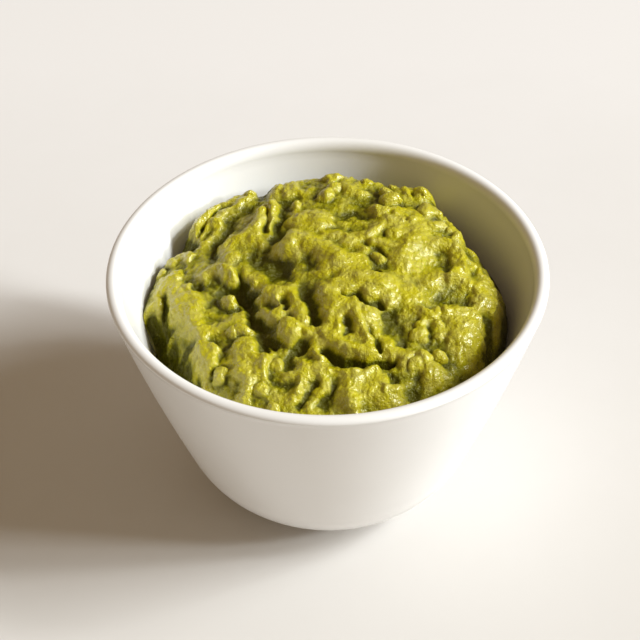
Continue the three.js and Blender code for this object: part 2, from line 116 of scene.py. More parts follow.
# Ridges that a spoon left: the crest's points, half widths to the left and right of it, heights of its ends
FOLDS = [
    ("back ledge, outer lobe",
     [(-38.5, 28), (-37, 32.5), (-33.5, 36.5), (-29, 39.5), (-24, 41.5)], (2, 4), (4.4, 1.2)),
    ("back ledge, inner lobe",
     [(-34.5, 22.5), (-33, 28), (-30.5, 32), (-27.5, 35), (-24, 37)], (1.6, 2.0), (1.6, 1.2)),
    ("long left fold",
     [(-28.5, 16.5), (-26.5, 20.5), (-22.5, 22), (-20, 27.5), (-17, 31.5), (-12.5, 30)],
     (1.8, 5), (1.8, 3.2)),
    ("ridge in its face", [(-15, 30.5), (-15, 25.5), (-15, 20.5)], (1.6, 1.2), (3.4, 2.0)),
    ("middle fold",
     [(-11, 12.5), (-9.5, 15.5), (-6.5, 14.5), (-2.5, 11.5), (1.5, 8), (5, 5)], (4, 4.5), (4.0, 3.0)),
    ("left curl's crest",
     [(-33, 7.5), (-30, 9), (-27, 6), (-26, 0.5), (-28, -2.5)], (2.2, 1.8), (2.8, 3.0)),
    ("fold above the pit",
     [(-19, -3.5), (-16.5, -3), (-12.5, -4.5), (-10, -4.5), (-8, -8.5), (-6, -13.5)], (3, 2.6), (2.6, 2.8)),
    ("hooked fold's tail", [(-6.5, -17.5), (-4, -21), (-1, -24), (-2, -27)], (1.5, 2.6), (2.0, 1.2)),
    ("thin fold beside the dome", [(-4.5, -13), (-2, -16), (-0.5, -18)], (1.2, 1.2), (1.8, 1.8)),
    ("dome's upper edge",
     [(0, -6.5), (3.5, -5.5), (7, -8.5), (10.5, -11), (13, -11)], (4, 2.4), (3.4, 3.4)),
    ("dome rib, left", [(1.5, -12), (3, -15), (3.5, -18)], (1.4, 1.4), (3.6, 2.8)),
    ("dome rib, middle", [(7, -13), (8, -15.5), (10.5, -19.5), (11.5, -22.5)], (1.4, 1.4), (3.8, 3.0)),
    ("dome lip",
     [(-4.5, -14.5), (-1.5, -19.5), (2, -24), (5.5, -26), (10.5, -26.5)], (4.0, 1.8), (2.4, 3.0)),
    ("lip right of it", [(13.5, -24), (17, -25.5), (20, -27), (22, -27)], (2.4, 1.6), (1.8, 1.2)),
    ("spur", [(16, -5.5), (16, -11)], (1, 1), (2.4, 2.4)),
    ("cup rim", [(28, -1), (31.5, 0), (36, 0), (40, -2), (42, -6)], (4, 1.8), (1.6, 3.0)),
    ("slab top", [(32.5, -11), (35, -10.5), (38.5, -9.5)], (1.6, 3), (3.2, 3.4)),
    ("slab edge", [(41, -8.5), (41, -13), (40.5, -18), (39, -22.5)], (1.7, 4), (2.6, 2.2)),
    ("right curl",
     [(29.5, 13), (32, 14.5), (35.5, 14), (37.2, 10), (36.8, 4), (34.5, 0)], (2.0, 3.0), (3.0, 3.6)),
    ("spike", [(34.5, 17), (36.5, 19.5)], (1.2, 1.4), (1.0, 2.4)),
    ("arched fold", [(11, 16), (13.5, 18), (16, 20.5), (19, 20.5), (20.5, 17.5)], (3, 2.0), (2.2, 2.4)),
    ("fold behind it", [(14.5, 26.5), (17.5, 26.5), (20.5, 25.5)], (2.6, 2), (2.4, 2.4)),
    ("small fold, left", [(-1, 16), (1.5, 16), (5, 15.5), (7.5, 12.5)], (2.4, 1.4), (1.8, 2.2)),
    ("small fold, right", [(13, 13.5), (16, 12.5), (18.5, 11)], (2.2, 1.3), (2.2, 2.2)),
    ("tooth", [(5.5, 13), (7.5, 11.5), (10.5, 10.5)], (1.6, 1.8), (2.2, 2.0)),
    ("back blade", [(5, 38), (7.5, 36.5), (11, 35)], (1.4, 1.6), (1.6, 1.2)),
    ("left edge ridge", [(-43, 9.5), (-46, 6), (-48.5, 2)], (1.6, 2.2), (2.2, 0.8)),
    ("plateau's edge",
     [(-45, 2), (-42.5, -3), (-40, -5), (-38, -6.5), (-36, -11.5), (-33.5, -14)], (4.5, 1.5), (2.2, 2.4)),
    ("tongue's top", [(-36, -17), (-33.5, -17.5), (-31.5, -19), (-30, -20.5)], (1.5, 3), (3.0, 3.2)),
    ("front left slab's top",
     [(-24.5, -20.5), (-21.5, -19.5), (-18, -22.5), (-16.5, -26), (-16.5, -30.5)], (1.5, 3.5), (2.6, 3.2)),
    ("yellow slab face", [(-22.5, -28.5), (-21, -32), (-22, -35)], (1.8, 1.8), (3.0, 2.6)),
    ("front shelf's edge",
     [(-6, -28.5), (-2.5, -30.5), (0.5, -31.5), (5, -31.5), (7.5, -32)], (1.6, 3), (1.6, 1.8)),
    ("front rib, left", [(-8.5, -31.5), (-8, -35), (-7.5, -37.5)], (2.0, 2.0), (2.4, 2.2)),
    ("front rib, right", [(6.5, -31), (5.8, -36), (5.6, -42)], (2.4, 2.4), (2.4, 2.6)),
    ("front ridge, right", [(10, -31.5), (12.5, -31)], (1.6, 1.6), (1.8, 1.8)),
]

# Lumps that show as part of a ball: centre, ball radius, height of its top
LUMPS = [
    ((2, 43), 2.8, 1.6), ((11.5, 42), 2.0, 1.0), ((19.5, 40.5), 2.2, 1.8), ((23.5, 38.5), 2.0, 1.8),
    ((28.3, 37.5), 3.2, 4.4), ((-14, 41.5), 2.4, 1.6), ((-22, 41), 2.4, 2.4), ((18, 31.5), 3.3, 3.0),
    ((28, 28), 2.6, 2.4), ((30.5, 28.5), 2.4, 1.8), ((21, 22.5), 2.4, 2.6), ((18.4, 16.2), 2.4, 2.8),
    ((24.5, 22), 2.6, 2.6), ((15, 24.5), 2.2, 2.4), ((31, 22.5), 2.4, 1.8), ((34.5, 21), 2.0, 1.2),
    ((14.6, 7.2), 2.4, 2.2), ((39, 7.5), 3.2, 1.6), ((42.5, 6), 2.4, 1.4), ((44.5, 4.5), 2.6, 1.6),
    ((44.5, -1), 2.8, 1.8), ((46, -6.5), 2.6, 1.4), ((-39.2, 17.5), 2.4, 1.8), ((-43.9, 17.5), 2.4, 1.8),
    ((-47.5, 15.5), 2.2, 1.8), ((-42, 12), 2.4, 1.4), ((-49.5, 2.5), 2.6, 1.0), ((-21, 2), 2.6, 1.6),
    ((-26.5, 21), 2.2, 2.0), ((-33.5, -14.5), 3.0, 2.4), ((-10, -17), 3.8, 3.6), ((-18, -35), 2.2, 2.0),
    ((-25.5, -14.5), 3.0, 1.6), ((-20.5, -15.5), 2.6, 1.2), ((-28.3, -27.8), 2.6, 2.2),
    ((-13.5, -27.5), 2.4, 2.0), ((-15, -40), 2.2, 1.4), ((-1.3, -26), 2.6, 2.4), ((-1, -15), 2.4, 2.2),
    ((25.3, -27.3), 3.0, 2.8),
    ((-37, 3), 2.6, 1.8), ((-38.3, 6), 2.4, 1.8), ((39.5, -5), 2.4, 2.4), ((23, -30), 2.6, 2.2),
    ((47, -2.5), 2.4, 1.8), ((-9.5, 31), 2.8, 2.4), ((29, -16.5), 2.4, 2.4), ((25, -15.5), 2.2, 2.4),
    ((29.3, -11.6), 2.4, 2.6), ((17.5, 35.5), 2.4, 2.2), ((2.5, 37.5), 2.6, 2.2), ((0, 34.6), 2.6, 2.2),
    ((-22.5, -14.5), 2.4, 2.2), ((-1.5, 8.5), 2.6, 3.2), ((29.5, 21.5), 2.6, 2.2), ((29.5, -26), 1.8, 2.4),
    ((24, -19), 2.6, 2.0), ((31, -19), 2.4, 1.6), ((15, -37.5), 3.2, 3.2),
]

# Creases and pits: the points that the bottom follows, half width, heights of its ends
CREASES = [
    ("fall to the back wall", [(-24, 48), (-14, 51), (0, 52.5), (14, 51), (24, 47)], 5.0, (-7.0, -8.0)),
    ("fall to the right back wall",
     [(34.5, 39.5), (38.5, 31.5), (41.5, 24.5), (45.5, 16), (49.5, 9)], 3.8, (-10.0, -8.0)),
    ("recess by the left wall", [(-38.5, 23), (-43, 25.5), (-47, 24.5)], 2.2, (-3.0, -5.0)),
    ("pit in the ledge", [(-34.8, 23.5), (-33.5, 27)], 1.5, (-0.5, -0.5)),
    ("groove in the ledge", [(-36.5, 26), (-35, 30.5), (-32, 34), (-28, 36.5)], 0.9, (0.0, 0.2)),
    ("behind the long left fold",
     [(-31.5, 16), (-30, 22), (-28, 27), (-25.5, 30.5), (-22.5, 33), (-19.5, 35)], 2.4, (-2.0, -1.4)),
    ("notch in the skyline", [(-18.5, 37), (-18.3, 41), (-18.3, 46)], 1.8, (-0.6, -4.4)),
    ("furrow in its face", [(-17, 32.5), (-16.5, 26), (-17, 22.5)], 0.9, (1.0, 0.0)),
    ("right of the long left fold", [(-11.5, 33), (-12, 28), (-13, 22), (-13.5, 18)], 2.2, (-1.0, -1.8)),
    ("scoop", [(-20.5, 12.5), (-16.5, 9), (-13, 6)], 4.2, (-1.8, -2.6)),
    ("under the middle fold", [(-5.5, 8), (-5, 5)], 2.4, (-0.2, -0.2)),
    ("inside the left curl", [(-34, 5.5), (-31.5, 5), (-29.5, 2)], 2.4, (-1.4, -1.0)),
    ("slot", [(-25, 8), (-24.5, 4)], 1.5, (-0.8, -3.0)),
    ("deep left pit", [(-27, 2), (-24, 1.5), (-21, -1.5)], 2.6, (-4.5, -6.5)),
    ("deep left pit, front", [(-20.8, -4.5), (-19.5, -9.5), (-17, -15)], 2.0, (-4.0, -2.4)),
    ("pit's left end", [(-31, -1.5), (-28.5, -4), (-25, -5.5)], 2.2, (-1.5, -3.0)),
    ("pit on the hooked mass, left", [(-17, -6.5), (-15.5, -8)], 1.4, (-0.5, -0.5)),
    ("pit on the hooked mass, right", [(-11.8, -6.5), (-11.8, -8.5)], 1.2, (0.0, 0.0)),
    ("under the middle bulb", [(-17.3, -22), (-17.5, -18), (-14.5, -20.5)], 1.8, (-1.6, -2.0)),
    ("front left of the lip", [(-6.5, -22), (-10, -22.5), (-10, -28)], 1.8, (-2.2, -0.8)),
    ("left of the dome", [(-6.5, -1.5), (-5.5, -5), (-5, -9), (-3.5, -15)], 1.9, (-0.2, -1.2)),
    ("under the crown", [(3.5, -7), (8, -7.5), (10.5, -9.5), (14, -9.5)], 1.3, (0.4, -0.8)),
    ("dome furrow, left", [(4.6, -15.5), (4.4, -19.5)], 1.5, (1.6, 0.4)),
    ("dome furrow, right", [(9, -12.5), (11, -19)], 1.0, (3.0, 2.2)),
    ("under the dome lip",
     [(-1, -25), (3.5, -28.5), (8, -29), (12.5, -28), (16.5, -27.5)], 1.4, (-2.4, -4.0)),
    ("below the lip's right end", [(13.5, -27.5), (15, -30), (16.5, -33.5)], 1.8, (-1.0, -1.5)),
    ("right of the dome", [(16.3, -12.5), (16.5, -16.5), (19.3, -20.5)], 2.6, (-1.2, -1.4)),
    ("dark dot", [(13.3, -9.5), (14.3, -9.5)], 0.9, (-0.6, -0.6)),
    ("cup", [(30.5, -4.5), (33.5, -5.5), (36.5, -6.5)], 2.8, (-0.2, -0.4)),
    ("right of the slab", [(43.5, -10.5), (43.5, -14.5), (42.5, -20)], 1.5, (-1.0, -1.6)),
    ("front right notch", [(22, -32.5), (22, -38)], 1.8, (-0.8, -1.4)),
    ("front row notch, middle", [(1, -34.5), (-1, -39.5)], 2.0, (-0.4, -1.2)),
    ("front row notch, left", [(-4, -34), (-5, -37), (-8, -40)], 1.6, (-0.8, -1.0)),
    ("front row dark, left", [(-14, -32), (-11.5, -34)], 2.0, (-0.2, -0.2)),
    ("back pit", [(3.5, 26.5), (8, 26.5), (10, 25)], 1.5, (-0.8, -1.6)),
    ("dark notch by the swipe", [(12.8, 2.5), (14, 1.5)], 0.9, (-0.4, -0.4)),
    ("right of the spike", [(39.5, 15), (41.5, 12)], 1.6, (-1.0, -1.0)),
    ("inside the right curl", [(30, 10), (31.5, 5)], 1.8, (0.2, 0.2)),
    ("left of the back knob", [(14, 34), (14, 30)], 1.5, (0.2, 0.2)),
    ("right of the back knob", [(21.5, 35.5), (22, 32)], 1.2, (0.2, 0.2)),
    ("left of the corner knob", [(25, 37), (25, 31)], 1.4, (0.2, 0.2)),
    ("left flank", [(-48, -4), (-45.2, -9.5), (-41.5, -15)], 3.1, (-9.0, -10.0)),
    ("gap beside the left flank",
     [(-51, -4), (-49.5, -9), (-46.5, -15), (-42.5, -22), (-38, -28)], 2.8, (-13.0, -14.0)),
    ("left of the tongue", [(-41, -15.5), (-39.2, -19), (-38.8, -24)], 1.7, (-9.0, -7.0)),
    ("groove in the left flank", [(-45.5, 4), (-45, -1.5), (-44, -6)], 1.0, (-1.0, -6.5)),
    ("beside the dome's right", [(11.3, -18), (12.8, -21), (12.6, -24.5)], 1.0, (0.4, -0.6)),
    ("right of the tongue", [(-28.5, -20), (-28.5, -24.5)], 1.5, (0.2, 0.2)),
]

# The smooth face that the back of a spoon pressed: centre, half sizes, turn, height and its own slopes
SWIPE_AT, SWIPE_HALF, SWIPE_TURN = (25, 8.5), (6.5, 10.5), -20
SWIPE_HEIGHT, SWIPE_SLOPE = 1.8, (-0.38, 0.3)

# Seeded noise that roughens the heap: strength and size in mm, and seed
SWAY_RIGHT = [(1.1, 7, 8), (0.9, 3, 9)]  # moves the relief to the right and left
SWAY_BACK = [(1.1, 7, 10), (0.9, 3, 11)]
TEARS = [(2.0, 4, 21), (2.0, 4, 22), (2.0, 4, 23)]  # pull the lumps and curds out of shape along x, y and z
SHARP_LUMPS = (0.4, 9, 1)
SOFT_LUMPS = (0.65, 4.5, 2)
LUMP_SINK = 0.2  # about what the sharp lumps add on average
CURDS = (0.22, 2.0, 2)
CURD_CREASE = -0.5  # the lowest between curds, where 1 is their top
CURD_PATCHES = (2, 9, 4)  # where the curds show; its strength is a contrast, and not in mm
CURD_COVER = 0.5
COARSE_GRAIN = (0.36, 1.4, 4)
FINE_GRAIN = (0.18, 0.85, 5)
PRESSED_CALM = 0.8  # share of the lumps and curds that the spoon pressed flat
NOISE_STEP = (7.9, 11.3, 3.7)  # from one seed's place in the noise to the next
CURD_STEP = (17.3, 5.1, 9.7)
RIDGE_CONTRAST = 2.2
CURD_ROUNDNESS = 1.6

# Painted shade of the heap, 0 on crests to 1 in hollows: a level place, and what 1 mm of depth adds
LEVEL_HOLLOW = 0.45
NEAR_REACH, NEAR_HOLLOW = 5, 0.38  # below the mean of this many cells around it
FAR_REACH, FAR_HOLLOW = 14, 0.12
DEPTH_LIMIT, DEPTH_HOLLOW = 3, 0.13  # below the plain heap
# Painted light: the pressed face is coloured paler
PRESSED_PAINTED_LIGHT = -0.3
SIDE_HOLLOW = 0.5  # under the heap's edge, where it isn't seen


# ---------------------------------------------------------------- shapes

def arc(centre, radius, start, end, steps, squash=1.0):
    """Points (radius, height) along an arc, whose heights may be squashed into part of an ellipse."""
    angles = np.linspace(start, end, steps + 1)
    return [(centre[0] + radius * math.cos(a), centre[1] + squash * radius * math.sin(a)) for a in angles]


def bowed(start, end, bulge, steps):
    """Points strictly between two ends of a wall line that bows outwards."""
    run, rise = end[0] - start[0], end[1] - start[1]
    length = math.hypot(run, rise)
    shares = np.linspace(0, 1, steps + 1)[1:-1]
    bows = [4 * bulge * s * (1 - s) / length for s in shares]
    return [(start[0] + run * s + rise * b, start[1] + rise * s - run * b) for s, b in zip(shares, bows)]


def bowl_profile():
    """The bowl's section, from the middle of its underside round the lip to the middle of its floor."""
    corner_centre = (CORNER_CENTRE_RADIUS, CORNER_RADIUS)
    foot_reach = FOOT_OUTER_RADIUS - CORNER_CENTRE_RADIUS
    corner_start = -math.acos(foot_reach / CORNER_RADIUS)
    inner_corner_radius = CORNER_RADIUS - FLOOR_THICKNESS
    outer_corner = arc(corner_centre, CORNER_RADIUS, corner_start, -WALL_TILT, OUTER_CORNER_STEPS)
    inner_corner = arc(corner_centre, inner_corner_radius, -WALL_TILT, -math.pi / 2, INNER_CORNER_STEPS)
    outer_top = (RIM_RADIUS - LIP_OVERHANG, BOWL_HEIGHT - LIP_DROP)
    inner_top = (outer_top[0] - WALL_THICKNESS, outer_top[1])
    return [
        *foot_profile(),
        *outer_corner,
        *bowed(outer_corner[-1], outer_top, WALL_BULGE, WALL_STEPS),
        outer_top,
        *lip_profile(),
        *bowed(inner_corner[0], inner_top, WALL_BULGE, WALL_STEPS)[::-1],
        *inner_corner,
        (0, FLOOR_THICKNESS),
    ]


def foot_profile():
    """The recessed underside and the foot ring, from the middle outwards."""
    r = FOOT_ROUNDING
    return [
        (0, FOOT_RECESS),
        (FOOT_INNER_RADIUS - 2 * r, FOOT_RECESS),
        *arc((FOOT_INNER_RADIUS + r, r), r, math.pi, 1.5 * math.pi, FOOT_STEPS),
        *arc((FOOT_OUTER_RADIUS - r, r), r, -math.pi / 2, 0, FOOT_STEPS),
    ]


def lip_profile():
    """The rounded lip, from its outer side over its crest to the inner side."""
    (outwards, fall), (inwards, dip) = LIP_OUTER_ROUNDING, LIP_INNER_ROUNDING
    crest = RIM_RADIUS - outwards
    outer = arc((crest, BOWL_HEIGHT - fall), outwards, LIP_START, math.pi / 2, LIP_STEPS, fall / outwards)
    inner = arc((crest, BOWL_HEIGHT - dip), inwards, math.pi / 2, math.pi, LIP_STEPS, dip / inwards)
    return outer + inner[1:]


def inner_radius(height):
    """Radius of the bowl's inner face at a height."""
    profile = bowl_profile()
    lip_top = max(range(len(profile)), key=lambda k: profile[k][1])
    inside = profile[lip_top:][::-1]
    return np.interp(height, [p[1] for p in inside], [p[0] for p in inside])


def path_place(x, y, path):
    """Distance to a path, how squarely a point is to its left (1) or right (-1), and how far along."""
    nearest = np.full(x.shape, np.inf)
    side = np.zeros(x.shape)
    along = np.zeros(x.shape)
    legs = len(path) - 1
    for leg, ((x0, y0), (x1, y1)) in enumerate(zip(path, path[1:])):
        dx, dy = x1 - x0, y1 - y0
        share = np.clip(((x - x0) * dx + (y - y0) * dy) / (dx * dx + dy * dy), 0, 1)
        distance = np.hypot(x - x0 - share * dx, y - y0 - share * dy)
        leftness = (dx * (y - y0) - dy * (x - x0)) / math.hypot(dx, dy) / np.maximum(distance, TINY)
        side = np.where(distance < nearest, leftness, side)
        along = np.where(distance < nearest, (leg + share) / legs, along)
        nearest = np.minimum(nearest, distance)
    return nearest, side, along


def bump(x, y, at, half, turn):
    """A flat-topped bump, 1 in its middle and 0 well outside its half sizes."""
    a = math.radians(turn)
    across = ((x - at[0]) * math.cos(a) + (y - at[1]) * math.sin(a)) / half[0]
    along = ((y - at[1]) * math.cos(a) - (x - at[0]) * math.sin(a)) / half[1]
    return np.exp(-((across**2 + along**2) ** 2))


def pressed_share(x, y):
    """How much of a place belongs to the face that the spoon pressed, 0 to 1."""
    return bump(x, y, SWIPE_AT, SWIPE_HALF, SWIPE_TURN)


def relief(x, y):
    """Height of the ridges and hollows above the plain heap."""
    height = np.zeros(x.shape)
    for _, at, half, turn, top in MASSES:
        height += np.maximum(top - height, 0) * bump(x, y, at, half, turn)
    face = SWIPE_HEIGHT + SWIPE_SLOPE[0] * (x - SWIPE_AT[0]) + SWIPE_SLOPE[1] * (y - SWIPE_AT[1])
    height += (face - height) * pressed_share(x, y)
    for _, path, (left, right), (first, last) in FOLDS:
        distance, side, along = path_place(x, y, path)
        half = (left + right) / 2 + (left - right) / 2 * side
        top = first + (last - first) * along
        height += np.maximum(top - height, 0) * np.exp(-((distance / half) ** 2))
    for at, radius, top in LUMPS:
        away = np.hypot(x - at[0], y - at[1])
        ball = top - radius + np.sqrt(np.maximum(radius**2 - away**2, 0))
        height = np.where(away < radius, np.maximum(height, ball), height)
    for _, path, half, (first, last) in CREASES:
        distance, _, along = path_place(x, y, path)
        bottom = first + (last - first) * along
        height -= np.maximum(height - bottom, 0) * np.exp(-((distance / half) ** 2))
    return height


def contact_height(angle):
    """Height at which the heap meets the wall, with a soft change from each given angle to the next."""
    degrees = np.degrees(angle) % 360
    places = [a for a, _ in CONTACTS] + [CONTACTS[0][0] + 360]
    heights = [h for _, h in CONTACTS] + [CONTACTS[0][1]]
    leg = np.interp(degrees, places, range(len(places)))
    share = leg % 1
    return np.interp(np.floor(leg) + share**2 * (3 - 2 * share), range(len(heights)), heights)


def plain_height(x, y):
    """Height of the plain heap away from the wall."""
    slopes = PLAIN_SLOPE[0] * x + PLAIN_SLOPE[1] * y
    drops = PLAIN_DROP[0] * (x / PLAIN_REACH) ** 2 + PLAIN_DROP[1] * (y / PLAIN_REACH) ** 2
    return PLAIN_MIDDLE + slopes - drops


def disc_grid(cells):
    """A square grid squeezed into a unit disc, with nearly even cells."""
    u, v = np.meshgrid(np.linspace(-1, 1, cells + 1), np.linspace(-1, 1, cells + 1))
    return u * np.sqrt(1 - v**2 / 2), v * np.sqrt(1 - u**2 / 2)


def smooth_noise(points, strength, size, seed):
    """Smooth noise for a list of points, about half its strength up and down."""
    shift = Vector([seed * step for step in NOISE_STEP])
    return strength * np.array([noise.noise(Vector(p) / size + shift) for p in points.tolist()])


def summed_noise(points, layers):
    """The sum of layers of smooth noise for a list of points."""
    return sum(smooth_noise(points, *layer) for layer in layers)


def ridged_noise(points, strength, size, seed):
    """Noise with sharp crests that rise to its strength from about 0."""
    return strength * (1 - np.abs(smooth_noise(points, RIDGE_CONTRAST, size, seed)))


def curd_noise(points, strength, size, seed):
    """Rounded curds of about the given size, with creases between them that may lie below 0."""
    shift = Vector([seed * step for step in CURD_STEP])
    domes = [noise.voronoi(Vector(p) / size + shift)[0][0] for p in points.tolist()]
    return strength * np.clip(1 - np.square(domes) * CURD_ROUNDNESS, CURD_CREASE, 1)


def grid_normals(p):
    """Unit normals of a grid of points, rows by columns by xyz."""
    along = np.gradient(p, axis=1)
    across = np.gradient(p, axis=0)
    normal = np.cross(along, across)
    return normal / np.linalg.norm(normal, axis=2, keepdims=True)


def heap_plan():
    """The heap's grid from above: x, y, share of the way to the wall, and height of its edge there."""
    u, v = disc_grid(HEAP_CELLS)
    even = np.hypot(u, v)
    share = even + EDGE_CROWDING * np.sin(math.pi * even)
    crowding = share / np.maximum(even, TINY)
    u, v = u * crowding, v * crowding
    rim = contact_height(np.arctan2(v, u))
    radius = inner_radius(rim) - WALL_GAP
    return u * radius, v * radius, share, rim


def swayed(x, y):
    """The same places moved sideways by noise, so that ridges and creases don't run too smoothly."""
    plan = np.dstack([x, y, np.zeros(x.shape)]).reshape(-1, 3)
    return [
        values + summed_noise(plan, layers).reshape(x.shape)
        for values, layers in ((x, SWAY_RIGHT), (y, SWAY_BACK))
    ]


def lumps_on(p):
    """How far torn lumps and curds stand out, for a grid of points."""
    points = p.reshape(-1, 3)
    points = points + np.stack([smooth_noise(points, *tear) for tear in TEARS], axis=1)
    lumps = ridged_noise(points, *SHARP_LUMPS) + smooth_noise(points, *SOFT_LUMPS) - LUMP_SINK
    patches = np.clip(CURD_COVER + smooth_noise(points, *CURD_PATCHES), 0, 1)
    return (lumps + curd_noise(points, *CURDS) * patches).reshape(p.shape[:2])


def grain_on(p):
    """How far the grain stands out, for a grid of points."""
    return summed_noise(p.reshape(-1, 3), (COARSE_GRAIN, FINE_GRAIN)).reshape(p.shape[:2])


def kept_off_wall(p):
    """A grid of points, drawn in where they would come nearer to the bowl than the gap."""
    reach = np.hypot(p[..., 0], p[..., 1])
    limit = inner_radius(p[..., 2]) - WALL_GAP
    scale = np.minimum(1, limit / np.maximum(reach, TINY))
    return np.dstack([p[..., 0] * scale, p[..., 1] * scale, p[..., 2]])


def heap_points():
    """The top of the heap, rows by columns by xyz."""
    x, y, share, rim = heap_plan()
    plain = rim + (plain_height(x, y) - rim) * (1 - share**SHOULDER_POWER)
    inward = 1 - share**RELIEF_FADE_POWER
    calm = 1 - PRESSED_CALM * pressed_share(x, y)
    p = np.dstack([x, y, plain + relief(*swayed(x, y)) * inward])
    p = p + grid_normals(p) * (lumps_on(p) * inward * calm)[..., None]
    p = p + grid_normals(p) * (grain_on(p) * inward)[..., None]
    return kept_off_wall(p)


def softened(values, reach):
    """A grid's values averaged over a square of cells, 2 * reach + 1 wide, twice."""
    for axis in (0, 1, 0, 1):
        pads = [(reach, reach) if k == axis else (0, 0) for k in (0, 1)]
        sums = np.cumsum(np.pad(values, pads, mode="edge"), axis=axis)
        first = np.take(sums, [0], axis=axis)
        width = 2 * reach + 1
        count = values.shape[axis]
        upper = np.take(sums, range(width - 1, width - 1 + count), axis=axis)
        lower = np.concatenate([0 * first, np.take(sums, range(count - 1), axis=axis)], axis=axis)
        values = (upper - lower) / width
    return values


def painted_hollow_shade(p):
    """Painted shade, 0 on the crests to 1 in the hollows and far down, for a grid of points."""
    x, y, z = np.moveaxis(p, 2, 0)
    near = softened(z, NEAR_REACH) - z
    far = softened(z, FAR_REACH) - z
    depth = np.clip(plain_height(x, y) - z, -DEPTH_LIMIT, DEPTH_LIMIT)
    hollow_shade = LEVEL_HOLLOW + NEAR_HOLLOW * near + FAR_HOLLOW * far
    return np.clip(hollow_shade + DEPTH_HOLLOW * depth + PRESSED_PAINTED_LIGHT * pressed_share(x, y), 0, 1)


def mesh_object(name, verts, faces, material):
    """A smoothly shaded object of one material."""
    mesh = bpy.data.meshes.new(name)
    mesh.from_pydata([tuple(v) for v in verts], [], faces)
    mesh.polygons.foreach_set("use_smooth", [True] * len(mesh.polygons))
    mesh.materials.append(material)
    obj = bpy.data.objects.new(name, mesh)
    bpy.context.collection.objects.link(obj)
    return obj


def lathe(name, profile, segments, material):
    """A closed solid of revolution whose profile starts and ends on the axis."""
    verts = [(0, 0, profile[0][1] * MM), (0, 0, profile[-1][1] * MM)]
    ring_points = profile[1:-1]
    angles = [2 * math.pi * k / segments for k in range(segments)]
    for radius, height in ring_points:
        verts += [(radius * math.cos(a) * MM, radius * math.sin(a) * MM, height * MM) for a in angles]
    faces = []
    for k in range(segments):
        after = (k + 1) % segments
        faces.append((0, 2 + after, 2 + k))
        for ring in range(len(ring_points) - 1):
            low = 2 + ring * segments
            high = low + segments
            faces.append((low + k, low + after, high + after, high + k))
        last = 2 + (len(ring_points) - 1) * segments
        faces.append((last + k, last + after, 1))
    return mesh_object(name, verts, faces, material)


def grid_faces(cells):
    """The quads of a square grid of points."""
    row = cells + 1
    corners = [j * row + i for j in range(cells) for i in range(cells)]
    return [(k, k + 1, k + 1 + row, k + row) for k in corners]


def grid_border(cells):
    """Indices of a square grid's edge points, anticlockwise from the first corner."""
    row = cells + 1
    south = [k for k in range(cells)]
    east = [row * (k + 1) - 1 for k in range(cells)]
    north = [row * row - 1 - k for k in range(cells)]
    west = [row * (cells - k) for k in range(cells)]
    return south + east + north + west


def add_side_loops(verts, edge):
    """Adds loops of points down the bowl's corner, then a middle point. Gives the loops' indices."""
    radius = CORNER_RADIUS - FLOOR_THICKNESS - WALL_GAP
    corner = arc((CORNER_CENTRE_RADIUS, CORNER_RADIUS), radius, -WALL_TILT, -math.pi / 2, SIDE_STEPS)
    angles = [math.atan2(verts[k][1], verts[k][0]) for k in edge[::SIDE_STRIDE]]
    loops = []
    for reach, height in corner:
        start = len(verts)
        verts += [[reach * math.cos(a) * MM, reach * math.sin(a) * MM, height * MM] for a in angles]
        loops.append(range(start, len(verts)))
    verts.append([0, 0, corner[-1][1] * MM])
    return loops


def side_faces(edge, loops):
    """Faces from the heap's edge down through the loops to the point after the last one."""
    faces = []
    steps = len(loops[0])
    middle = loops[-1][-1] + 1
    for k in range(steps):
        after = (k + 1) % steps
        top = [edge[(SIDE_STRIDE * k + m) % len(edge)] for m in range(SIDE_STRIDE, -1, -1)]
        faces.append((*top, loops[0][k], loops[0][after]))
        for upper, lower in zip(loops, loops[1:]):
            faces.append((upper[k], lower[k], lower[after], upper[after]))
        faces.append((loops[-1][k], middle, loops[-1][after]))
    return faces


def heap_object(material):
    """The heap as one closed solid, with each point's painted hollow shade as an attribute."""
    p = heap_points()
    verts = (p.reshape(-1, 3) * MM).tolist()
    edge = grid_border(HEAP_CELLS)
    loops = add_side_loops(verts, edge)
    faces = grid_faces(HEAP_CELLS) + side_faces(edge, loops)
    heap = mesh_object("guacamole_heap", verts, faces, material)
    hollow_shade = np.full(len(verts), SIDE_HOLLOW)
    hollow_shade[: p.shape[0] * p.shape[1]] = painted_hollow_shade(p).ravel()
    heap.data.attributes.new("hollow_shade", "FLOAT", "POINT").data.foreach_set("value", hollow_shade)
    return heap


# ---------------------------------------------------------------- materials

# Noise in the materials: scale, detail, roughness
GLAZE_TONE_NOISE = (30, 4.0, 0.5)
GLAZE_WAVE_NOISE = (60, 1.0, 0.5)
AVOCADO_TONE_NOISE = (220, 5.0, 0.6)
AVOCADO_FLECK_NOISE = (260, 8.0, 0.72)
AVOCADO_GRAIN_NOISE = (1500, 3.0, 0.6)
FLOOR_NOISE = (25, 6.0, 0.6)

# Colours as they look on screen, 0 to 255, at places along a ramp
GLAZE_COLOURS = [(0.3, (238, 237, 235)), (0.7, (241, 240, 238))]
# The avocado's green on crests, darkened by painted shade towards the deepest hollows
AVOCADO_COLOURS = [
    (0.4, (188, 179, 36)),
    (0.65, (160, 154, 14)),
    (0.85, (120, 118, 3)),
    (1.0, (80, 79, 0)),
]
# The floor's colours with painted shade: darker at the front, paler towards the back
FLOOR_PAINTED_SHADE_COLOURS = [(0.0, (216, 213, 209)), (0.25, (230, 228, 227))]

GLAZE_ROUGHNESS = 0.25
GLAZE_WAVE_DEPTH = 0.0001
AVOCADO_TONE_SHARE = 0.35  # what the tone noise adds to the painted hollow shade
